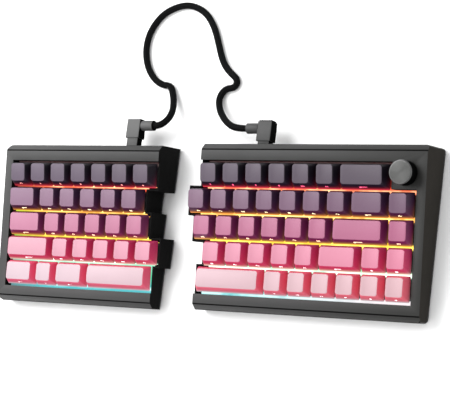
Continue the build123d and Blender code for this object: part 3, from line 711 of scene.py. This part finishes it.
def makeCable():
    line = meshOfCurve(routeCurve("linkRoute", 0.0))
    path = [vertex.co.copy() for vertex in line.vertices]
    mesh = meshOfCurve(routeCurve("linkTube", cable["diameter"] / 2 - cable["strandRise"]))
    lengths = [0.0]
    for start, stop in zip(path, path[1:]):
        lengths.append(lengths[-1] + (stop - start).length)
    rise = mesh.attributes.new("strandRise", "FLOAT", "POINT")
    around = len(mesh.vertices) // len(path)
    for index, vertex in enumerate(mesh.vertices):
        ring = index // around
        angle = 2 * math.pi * (index % around) / around
        turn = 2 * math.pi * lengths[ring] / cable["turnLength"]
        right = math.sin(cable["strands"] * (angle + turn) / 2)
        left = math.sin(cable["strands"] * (angle - turn) / 2)
        height = 0.5 + 0.5 * right * left
        rise.data[index].value = height
        vertex.co += (vertex.co - path[ring]).normalized() * (2 * height - 1) * cable["strandRise"]
    mesh.shade_smooth()
    piece = newPiece("link_cable_braid", mesh, None, "cable", "link_cable")
    paint(piece, finishes["braid"])
    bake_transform(piece)
    print("link cable:", round(lengths[-1], 4), "m,", len(path), "rings of", around)
    return piece, path, lengths[-1]


makeCamera(cameraSetup)
cablePiece, cablePath, cableLength = makeCable()


# Copies of the frame's pieces with their edges softened

shells = dict(
    caseRound=0.0003,
    coverRound=0.0003,
    plugRound=0.00035,
    knobRound=0.0003,
    creaseShadeWidth=0.0006,
    mergeReach=0.000002,
    flatAngle=1.0,            # in degrees, below which two faces are one
    hardAngle=30.0,           # in degrees, from which an edge is rounded
    upFacing=0.9,
    sideFacing=0.7,
    lowTop=0.001,             # above the key plane, below which a top belongs to the split wall
)


def isCrease(edge):
    # The line between the rim and its bevel, and the lower edge of the bevel in front, which get a narrow
    # strip of painted shade.
    low, high = sorted(face.normal.dot(leanUp) for face in edge.link_faces)
    inFront = all(face.normal.y < -0.5 for face in edge.link_faces)
    return (high > 0.99 and 0.6 < low < 0.8) or (inFront and abs(low) < 0.1 and 0.6 < high < 0.8)


def isHard(edge):
    return len(edge.link_faces) == 2 and edge.calc_face_angle() > math.radians(shells["hardAngle"])


def shadedCaseFace(face):
    # Painted light and shade: the end walls, the split wall with its low top, and the front wall take their
    # own tone, darker than the top at the split and lighter at the right end.
    height = (face.calc_center_median() - Vector((0, keysBack, layout["planeHeight"]))).dot(leanUp)
    low = face.normal.dot(leanUp) > shells["upFacing"] and height < shells["lowTop"]
    return low or abs(face.normal.x) > shells["sideFacing"] or face.normal.y < -shells["upFacing"]


def shadedPlugFace(face):
    # Painted shade: the plug's faces to the left and right are near black.
    return abs(face.normal.x) > shells["sideFacing"]


def shadedKnobFace(face):
    # Painted shade: the knob's round side, which gets a near-black finish.
    return abs(face.normal.dot(leanUp)) < 0.3


def softCopy(name, node, body, slotName, materials, width, creased=False, dark=None, edgeHighlightSlot=-1):
    bm = bmesh.new()
    bm.from_mesh(nodes[node].data)
    bmesh.ops.remove_doubles(bm, verts=bm.verts, dist=shells["mergeReach"])
    limit = math.radians(shells["flatAngle"])
    bmesh.ops.dissolve_limit(bm, angle_limit=limit, verts=bm.verts, edges=bm.edges)
    hard = [edge for edge in bm.edges if isHard(edge)]
    if creased:
        creases = [edge for edge in hard if isCrease(edge)]
        # painted shade: a narrow near-black strip along each crease
        bmesh.ops.bevel(
            bm, geom=creases, offset=shells["creaseShadeWidth"], segments=1, affect="EDGES", material=2
        )
        bm.normal_update()
        hard = [
            edge for edge in bm.edges
            if isHard(edge) and all(face.material_index != 2 for face in edge.link_faces)
        ]
    if dark:
        for face in bm.faces:
            if dark(face):
                face.material_index = 1
    bmesh.ops.bevel(
        bm, geom=hard, offset=width, offset_type="OFFSET", segments=2, profile=0.5,
        affect="EDGES", material=edgeHighlightSlot, clamp_overlap=True, miter_outer="ARC",
    )
    piece = newPiece(name, meshFrom(bm, name), body, slotName, node)
    paint(piece, *materials)
    return piece


caseLook = [finishes["shell"], finishes["ends"], finishes["creaseShade"]]
plugLook = [finishes["plug"], finishes["plugSideShade"]]
knobFinishes = [finishes["knob"], finishes["knobSideShade"], finishes["knobRingHighlight"]]
for side in ("left", "right"):
    half = side + "_half"
    softCopy(
        side + "_case", side + "_top_case", half, "case", caseLook, shells["caseRound"],
        creased=True, dark=shadedCaseFace,
    )
    softCopy(
        side + "_cover", side + "_bottom_cover", half, "case", [finishes["cover"]], shells["coverRound"]
    )
    softCopy(
        side + "_plug_body", side + "_plug", half, "plug", plugLook, shells["plugRound"], dark=shadedPlugFace
    )
softCopy(
    "knob_cap", "volume_knob", "knob", "knob", knobFinishes, shells["knobRound"],
    dark=shadedKnobFace, edgeHighlightSlot=2,
)
print("shells made")


# Key caps

caps = dict(
    heights=[0.0090, 0.0082, 0.0065, 0.0071, 0.0069],   # row by row from the back
    leans=[5.0, 3.0, 0.5, -2.0, -3.0],                  # of the crowns, in degrees
    sideInset=0.0026,
    backInset=0.0013,
    frontInset=0.0032,
    blockRound=0.002,         # corner rounding while the block is still straight
    footRound=0.0009,
    topRound=0.0023,
    edgeRound=0.0005,
    dish=0.0007,
    crown=0.0008,
    crownedFrom=3,            # units, from which a cap is crowned and has no dish
    wall=0.0013,
    hollow=0.0042,
    cuts=8,                   # of the crown, between its rounded corners
    sharpAngle=34,
    crownFacing=0.88,
    edgeFacing=0.45,
    footReach=0.0004,
)

keyGroups = {                 # row and number of caps in each node
    "escape_key": (0, 1), "left_number_row_keys": (0, 6),
    "tab_key": (1, 1), "left_upper_row_keys": (1, 5),
    "caps_lock_key": (2, 1), "left_home_row_keys": (2, 5),
    "left_shift_key": (3, 1), "left_lower_row_keys": (3, 5),
    "left_control_key": (4, 1), "system_key": (4, 1), "left_alt_key": (4, 1), "left_space_key": (4, 1),
    "right_number_row_keys": (0, 6), "backspace_key": (0, 1),
    "right_upper_row_keys": (1, 7), "backslash_key": (1, 1), "delete_key": (1, 1),
    "right_home_row_keys": (2, 6), "enter_key": (2, 1), "page_up_key": (2, 1),
    "right_lower_row_keys": (3, 5), "right_shift_key": (3, 1),
    "arrow_up_key": (3, 1), "page_down_key": (3, 1),
    "right_space_key": (4, 1), "right_bottom_row_keys": (4, 3), "arrow_left_key": (4, 1),
    "arrow_down_key": (4, 1), "arrow_right_key": (4, 1),
}
rowNames = ["number", "upper", "home", "lower", "bottom"]


def onOutline(vertex, halfWidth, halfDepth, corner, fromWidth, fromDepth, fromCorner):
    # Moves a point of one rounded rectangle to the same place on another one.
    x = abs(vertex.co.x) - (fromWidth - fromCorner)
    y = abs(vertex.co.y) - (fromDepth - fromCorner)
    angle = math.atan2(max(y, 0), max(x, 0))
    signX = math.copysign(1, vertex.co.x)
    signY = math.copysign(1, vertex.co.y)
    vertex.co.x = signX * (halfWidth - corner + corner * math.cos(angle))
    vertex.co.y = signY * (halfDepth - corner + corner * math.sin(angle))


def buildCap(units, row):
    look = caps
    footX = (units * layout["pitch"] - layout["capGap"]) / 2
    footY = (layout["pitch"] - layout["capGap"]) / 2
    topX = footX - look["sideInset"]
    topY = footY - (look["backInset"] + look["frontInset"]) / 2
    middleY = (look["frontInset"] - look["backInset"]) / 2
    height = look["heights"][row]
    lean = math.radians(look["leans"][row])
    start = look["blockRound"]
    bm = bmesh.new()
    bmesh.ops.create_cube(bm, size=1.0)
    bmesh.ops.scale(bm, verts=bm.verts, vec=(2 * footX, 2 * footY, height))
    upright = [edge for edge in bm.edges if abs(edge.verts[0].co.z - edge.verts[1].co.z) > height / 2]
    bmesh.ops.bevel(bm, geom=upright, offset=start, segments=6, profile=0.5, affect="EDGES", material=-1)
    for vertex in bm.verts:
        if vertex.co.z < 0:
            onOutline(vertex, footX, footY, look["footRound"], footX, footY, start)
            vertex.co.z = 0
        else:
            onOutline(vertex, topX, topY, look["topRound"], footX, footY, start)
            vertex.co.y += middleY
            vertex.co.z = height + vertex.co.y * math.tan(lean)
    crowned = units >= look["crownedFrom"]
    normal = (0, 1, 0) if crowned else (1, 0, 0)
    middle = middleY if crowned else 0.0
    half = topY if crowned else topX
    reach = half - look["topRound"] - look["edgeRound"]
    for cut in range(look["cuts"]):
        place = middle + reach * (2 * cut / (look["cuts"] - 1) - 1)
        geometry = [*bm.verts, *bm.edges, *bm.faces]
        bmesh.ops.bisect_plane(bm, geom=geometry, plane_co=Vector(normal) * place, plane_no=normal)
    for vertex in bm.verts:
        if vertex.co.z < height / 2:
            continue
        across = (vertex.co.y if crowned else vertex.co.x) - middle
        share = min(1.0, abs(across) / half)
        if crowned:
            vertex.co.z -= look["crown"] * share**2
        else:
            vertex.co.z -= look["dish"] * (1 - share**2)
    rim = [
        edge for edge in bm.edges
        if len(edge.link_faces) == 2
        and max(face.normal.z for face in edge.link_faces) > 0.8
        and min(face.normal.z for face in edge.link_faces) < 0.7
    ]
    bmesh.ops.bevel(
        bm, geom=rim, offset=look["edgeRound"], segments=3, profile=0.5, affect="EDGES", material=-1
    )
    bm.normal_update()
    base = [face for face in bm.faces if face.normal.z < -0.8]
    if len(base) > 1:
        base = bmesh.ops.dissolve_faces(bm, faces=base)["region"]
    bmesh.ops.inset_region(bm, faces=base, thickness=look["wall"])
    raised = bmesh.ops.extrude_face_region(bm, geom=base)["geom"]
    bmesh.ops.delete(bm, geom=base, context="FACES_ONLY")
    lifted = [item for item in raised if isinstance(item, bmesh.types.BMVert)]
    bmesh.ops.translate(bm, verts=lifted, vec=(0, 0, look["hollow"]))
    squeeze = (topX - look["wall"]) / (footX - look["wall"])
    bmesh.ops.scale(bm, verts=lifted, vec=(squeeze, squeeze, 1))
    bmesh.ops.remove_doubles(bm, verts=bm.verts, dist=0.000001)
    return bm


def addBox(bm, size, place, materialIndex):
    made = bmesh.ops.create_cube(bm, size=1.0)["verts"]
    bmesh.ops.scale(bm, verts=made, vec=size)
    bmesh.ops.translate(bm, verts=made, vec=place)
    for vertex in made:
        for face in vertex.link_faces:
            face.material_index = materialIndex
    return made


slider = dict(
    block=(0.0072, 0.0058, 0.0058),
    top=0.00005,
    crossLength=0.004,
    crossWidth=0.0012,
    crossTop=0.0036,
)


def addSlider(bm):
    addBox(bm, slider["block"], (0, 0, slider["top"] - slider["block"][2] / 2), 2)
    rise = slider["crossTop"] - slider["top"]
    middle = slider["top"] + rise / 2
    addBox(bm, (slider["crossLength"], slider["crossWidth"], rise), (0, 0, middle), 2)
    addBox(bm, (slider["crossWidth"], slider["crossLength"], rise), (0, 0, middle), 2)


# Marks on the caps' front faces

marks = dict(
    figureSize=0.002465,
    boldness=0.00004,         # added around each figure
    thickness=0.00012,
    up=0.48,                  # share of the front face's height
    stroke=0.00050,
)
figures = {"left_number_row_keys": "123456", "right_number_row_keys": "7890"}
arrows = {"arrow_left_key": 90, "arrow_up_key": 0, "arrow_down_key": 180, "arrow_right_key": -90}
strokeSets = [                # short strokes: x, y, length, angle in degrees
    [(-0.0006, 0, 0.0015, 75), (0.0007, 0, 0.0015, -75)],
    [(-0.0009, 0, 0.0016, 90), (0.0002, 0.0004, 0.0013, 0), (0.0002, -0.0005, 0.0013, 0)],
    [(-0.0007, 0, 0.0016, 60), (0.0000, 0, 0.0016, -60), (0.0010, -0.0004, 0.0009, 0)],
    [(-0.0008, 0.0003, 0.0012, 20), (0.0006, -0.0002, 0.0014, -30)],
    [(-0.0010, 0, 0.0015, 90), (0.0000, 0, 0.0015, 90), (0.0010, 0, 0.0015, 90)],
]


def frontFace(row):
    # A place in the middle of the cap's front face, X to the right, Y up the face, Z outwards.
    footY = (layout["pitch"] - layout["capGap"]) / 2
    height = caps["heights"][row] - caps["dish"]
    slope = math.atan2(caps["frontInset"], height)
    up = marks["up"]
    place = Matrix.Translation((0, -footY + caps["frontInset"] * up, height * up))
    return place @ Matrix.Rotation(math.radians(90) - slope, 4, "X")


def addStroke(bm, place, x, y, length, angle):
    made = addBox(bm, (length, marks["stroke"], marks["thickness"]), (0, 0, 0), 1)
    turn = Matrix.Translation((x, y, 0)) @ Matrix.Rotation(math.radians(angle), 4, "Z")
    bmesh.ops.transform(bm, matrix=place @ turn, verts=made)


def addFigure(bm, place, figure):
    data = bpy.data.curves.new("figure", "FONT")
    data.body = figure
    data.size = marks["figureSize"]
    data.extrude = marks["thickness"] / 2
    data.offset = marks["boldness"]
    data.align_x = "CENTER"
    data.align_y = "CENTER"
    data.resolution_u = 3
    text = bpy.data.objects.new("figure", data)
    bpy.context.scene.collection.objects.link(text)
    bpy.context.view_layer.update()
    mesh = meshOfCurve(text)
    mesh.transform(place)
    before = set(bm.verts)
    bm.from_mesh(mesh)
    for vertex in set(bm.verts) - before:
        for face in vertex.link_faces:
            face.material_index = 1
    bpy.data.meshes.remove(mesh)


def addMark(bm, node, index, units, row):
    place = frontFace(row)
    if node in figures and index < len(figures[node]):
        addFigure(bm, place, figures[node][index])
    elif node in arrows:
        turn = place @ Matrix.Rotation(math.radians(arrows[node]), 4, "Z")
        addStroke(bm, turn, 0, 0, 0.0017, 90)
        addStroke(bm, turn, -0.0004, 0.0005, 0.0011, 45)
        addStroke(bm, turn, 0.0004, 0.0005, 0.0011, -45)
    elif units >= caps["crownedFrom"]:
        return
    elif units > 1:
        reach = 0.0030 * units
        addStroke(bm, place, 0, 0.0003, reach, 0)
        addStroke(bm, place, -reach / 2 + 0.0007, -0.0005, 0.0014, 0)
    else:
        for x, y, length, angle in strokeSets[(index + 2 * row) % len(strokeSets)]:
            addStroke(bm, place, x, y, length, angle)


def keySide(node):
    return "left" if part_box(node)[0].x < layout["splitX"] else "right"


def keyPlace(node, row, index, count):
    low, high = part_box(node)
    pitch = layout["pitch"]
    units = round(((high.x - low.x + layout["capGap"]) / pitch / count) * 4) / 4
    back = keyFieldBack(keySide(node))
    x = low.x - layout["capGap"] / 2 + (index + 0.5) * units * pitch
    plane = Matrix.Translation((0, back, layout["planeHeight"]))
    plane = plane @ Matrix.Rotation(math.radians(layout["lean"]), 4, "X")
    return units, plane @ Matrix.Translation((x, -(row + 0.5) * pitch, 0))


def markCrowns(mesh):
    # 1 on a cap's crown, 0 on its sides, fading over the rounded edge between them; the crown's paler
    # colour is partly the dye and partly painted highlight, and on the rounded edge it is a painted
    # highlight.
    tone = mesh.attributes.new("crownTone", "FLOAT", "CORNER")
    outside = [face for face in mesh.polygons if face.material_index == 0]
    crown = set()
    for face in outside:
        if face.normal.dot(leanUp) > caps["crownFacing"]:
            crown.update(face.vertices)
    for face in outside:
        if face.normal.dot(leanUp) > caps["edgeFacing"]:
            for corner in face.loop_indices:
                if mesh.loops[corner].vertex_index in crown:
                    tone.data[corner].value = 1.0


def markFeet(mesh, side):
    # 1 along the caps' lower edges, where the light from under them spills on their sides, painted there as
    # emission.
    spill = mesh.attributes.new("footSpill", "FLOAT", "POINT")
    origin = Vector((0, keyFieldBack(side), layout["planeHeight"]))
    for vertex in mesh.vertices:
        height = (vertex.co - origin).dot(leanUp)
        spill.data[vertex.index].value = 1.0 if abs(height) < caps["footReach"] else 0.0


def makeKeys(node, row, count):
    whole = bmesh.new()
    for index in range(count):
        units, place = keyPlace(node, row, index, count)
        one = buildCap(units, row)
        addSlider(one)
        bmesh.ops.recalc_face_normals(one, faces=one.faces)
        addMark(one, node, index, units, row)
        bmesh.ops.transform(one, matrix=place, verts=one.verts)
        part = bpy.data.meshes.new("cap")
        one.to_mesh(part)
        one.free()
        whole.from_mesh(part)
        bpy.data.meshes.remove(part)
    mesh = bpy.data.meshes.new(node)
    whole.to_mesh(mesh)
    whole.free()
    mesh.shade_smooth()
    mesh.set_sharp_from_angle(angle=math.radians(caps["sharpAngle"]))
    markCrowns(mesh)
    markFeet(mesh, keySide(node))
    piece = newPiece(node + "_caps", mesh, node, f"caps_{rowNames[row]}_row", node)
    paint(piece, finishes["cap"], finishes["mark"], finishes["slider"])


for node, (row, count) in keyGroups.items():
    makeKeys(node, row, count)
print("keys made:", sum(count for row, count in keyGroups.values()))


# Finishes of the frame's own pieces

nodeFinishes = {
    "switch_plate": "plate", "circuit_board": "board", "switch_housings": "housing",
    "stabiliser_housings": "housing", "lights": "lamp", "rubber_feet": "rubber", "case_screws": "steel",
    "link_socket": "steel", "plug_shell": "steel",
}
for side in ("left", "right"):
    for name, finish in nodeFinishes.items():
        paint(nodes[f"{side}_{name}"], finishes[finish])
paint(nodes["host_socket"], finishes["steel"])
paint(nodes["encoder_body"], finishes["encoder"])
paint(nodes["encoder_rotor"], finishes["encoder"])
paint(nodes["encoder_shaft"], finishes["steel"])


# Floor and light

studio = dict(floorSize=6.0, floorColour=(0.95, 0.95, 0.95), skyStrength=0.95)
lamps = [                     # name, place, aimed at, size, watts
    ("keyLight", (-0.65, 0.40, 0.95), (-0.05, 0, 0), 1.0, 18),
    ("fillLight", (-0.6, -1.4, 1.6), (0, 0, 0), 1.8, 11),
]


def makeStudio():
    bm = bmesh.new()
    bmesh.ops.create_grid(bm, x_segments=1, y_segments=1, size=studio["floorSize"] / 2)
    mesh = bpy.data.meshes.new("floor")
    bm.to_mesh(mesh)
    bm.free()
    floor = bpy.data.objects.new("floor", mesh)
    bpy.context.scene.collection.objects.link(floor)
    material, tree, shader = newMaterial("paleFloor", specular=0.3)
    shader.inputs["Base Color"].default_value = (*studio["floorColour"], 1)
    shader.inputs["Roughness"].default_value = 0.6
    mesh.materials.append(material)
    for name, place, aim, size, watts in lamps:
        data = bpy.data.lights.new(name, "AREA")
        data.size = size
        data.energy = watts
        lamp = bpy.data.objects.new(name, data)
        lamp.location = place
        lamp.rotation_euler = (Vector(aim) - Vector(place)).to_track_quat("-Z", "Y").to_euler()
        bpy.context.scene.collection.objects.link(lamp)
    world = bpy.data.worlds.new("softSky")
    world.use_nodes = True
    background = world.node_tree.nodes["Background"]
    background.inputs["Color"].default_value = (1, 1, 1, 1)
    background.inputs["Strength"].default_value = studio["skyStrength"]
    bpy.context.scene.world = world
    bpy.context.scene.view_settings.view_transform = "Standard"


makeStudio()
print("studio made")
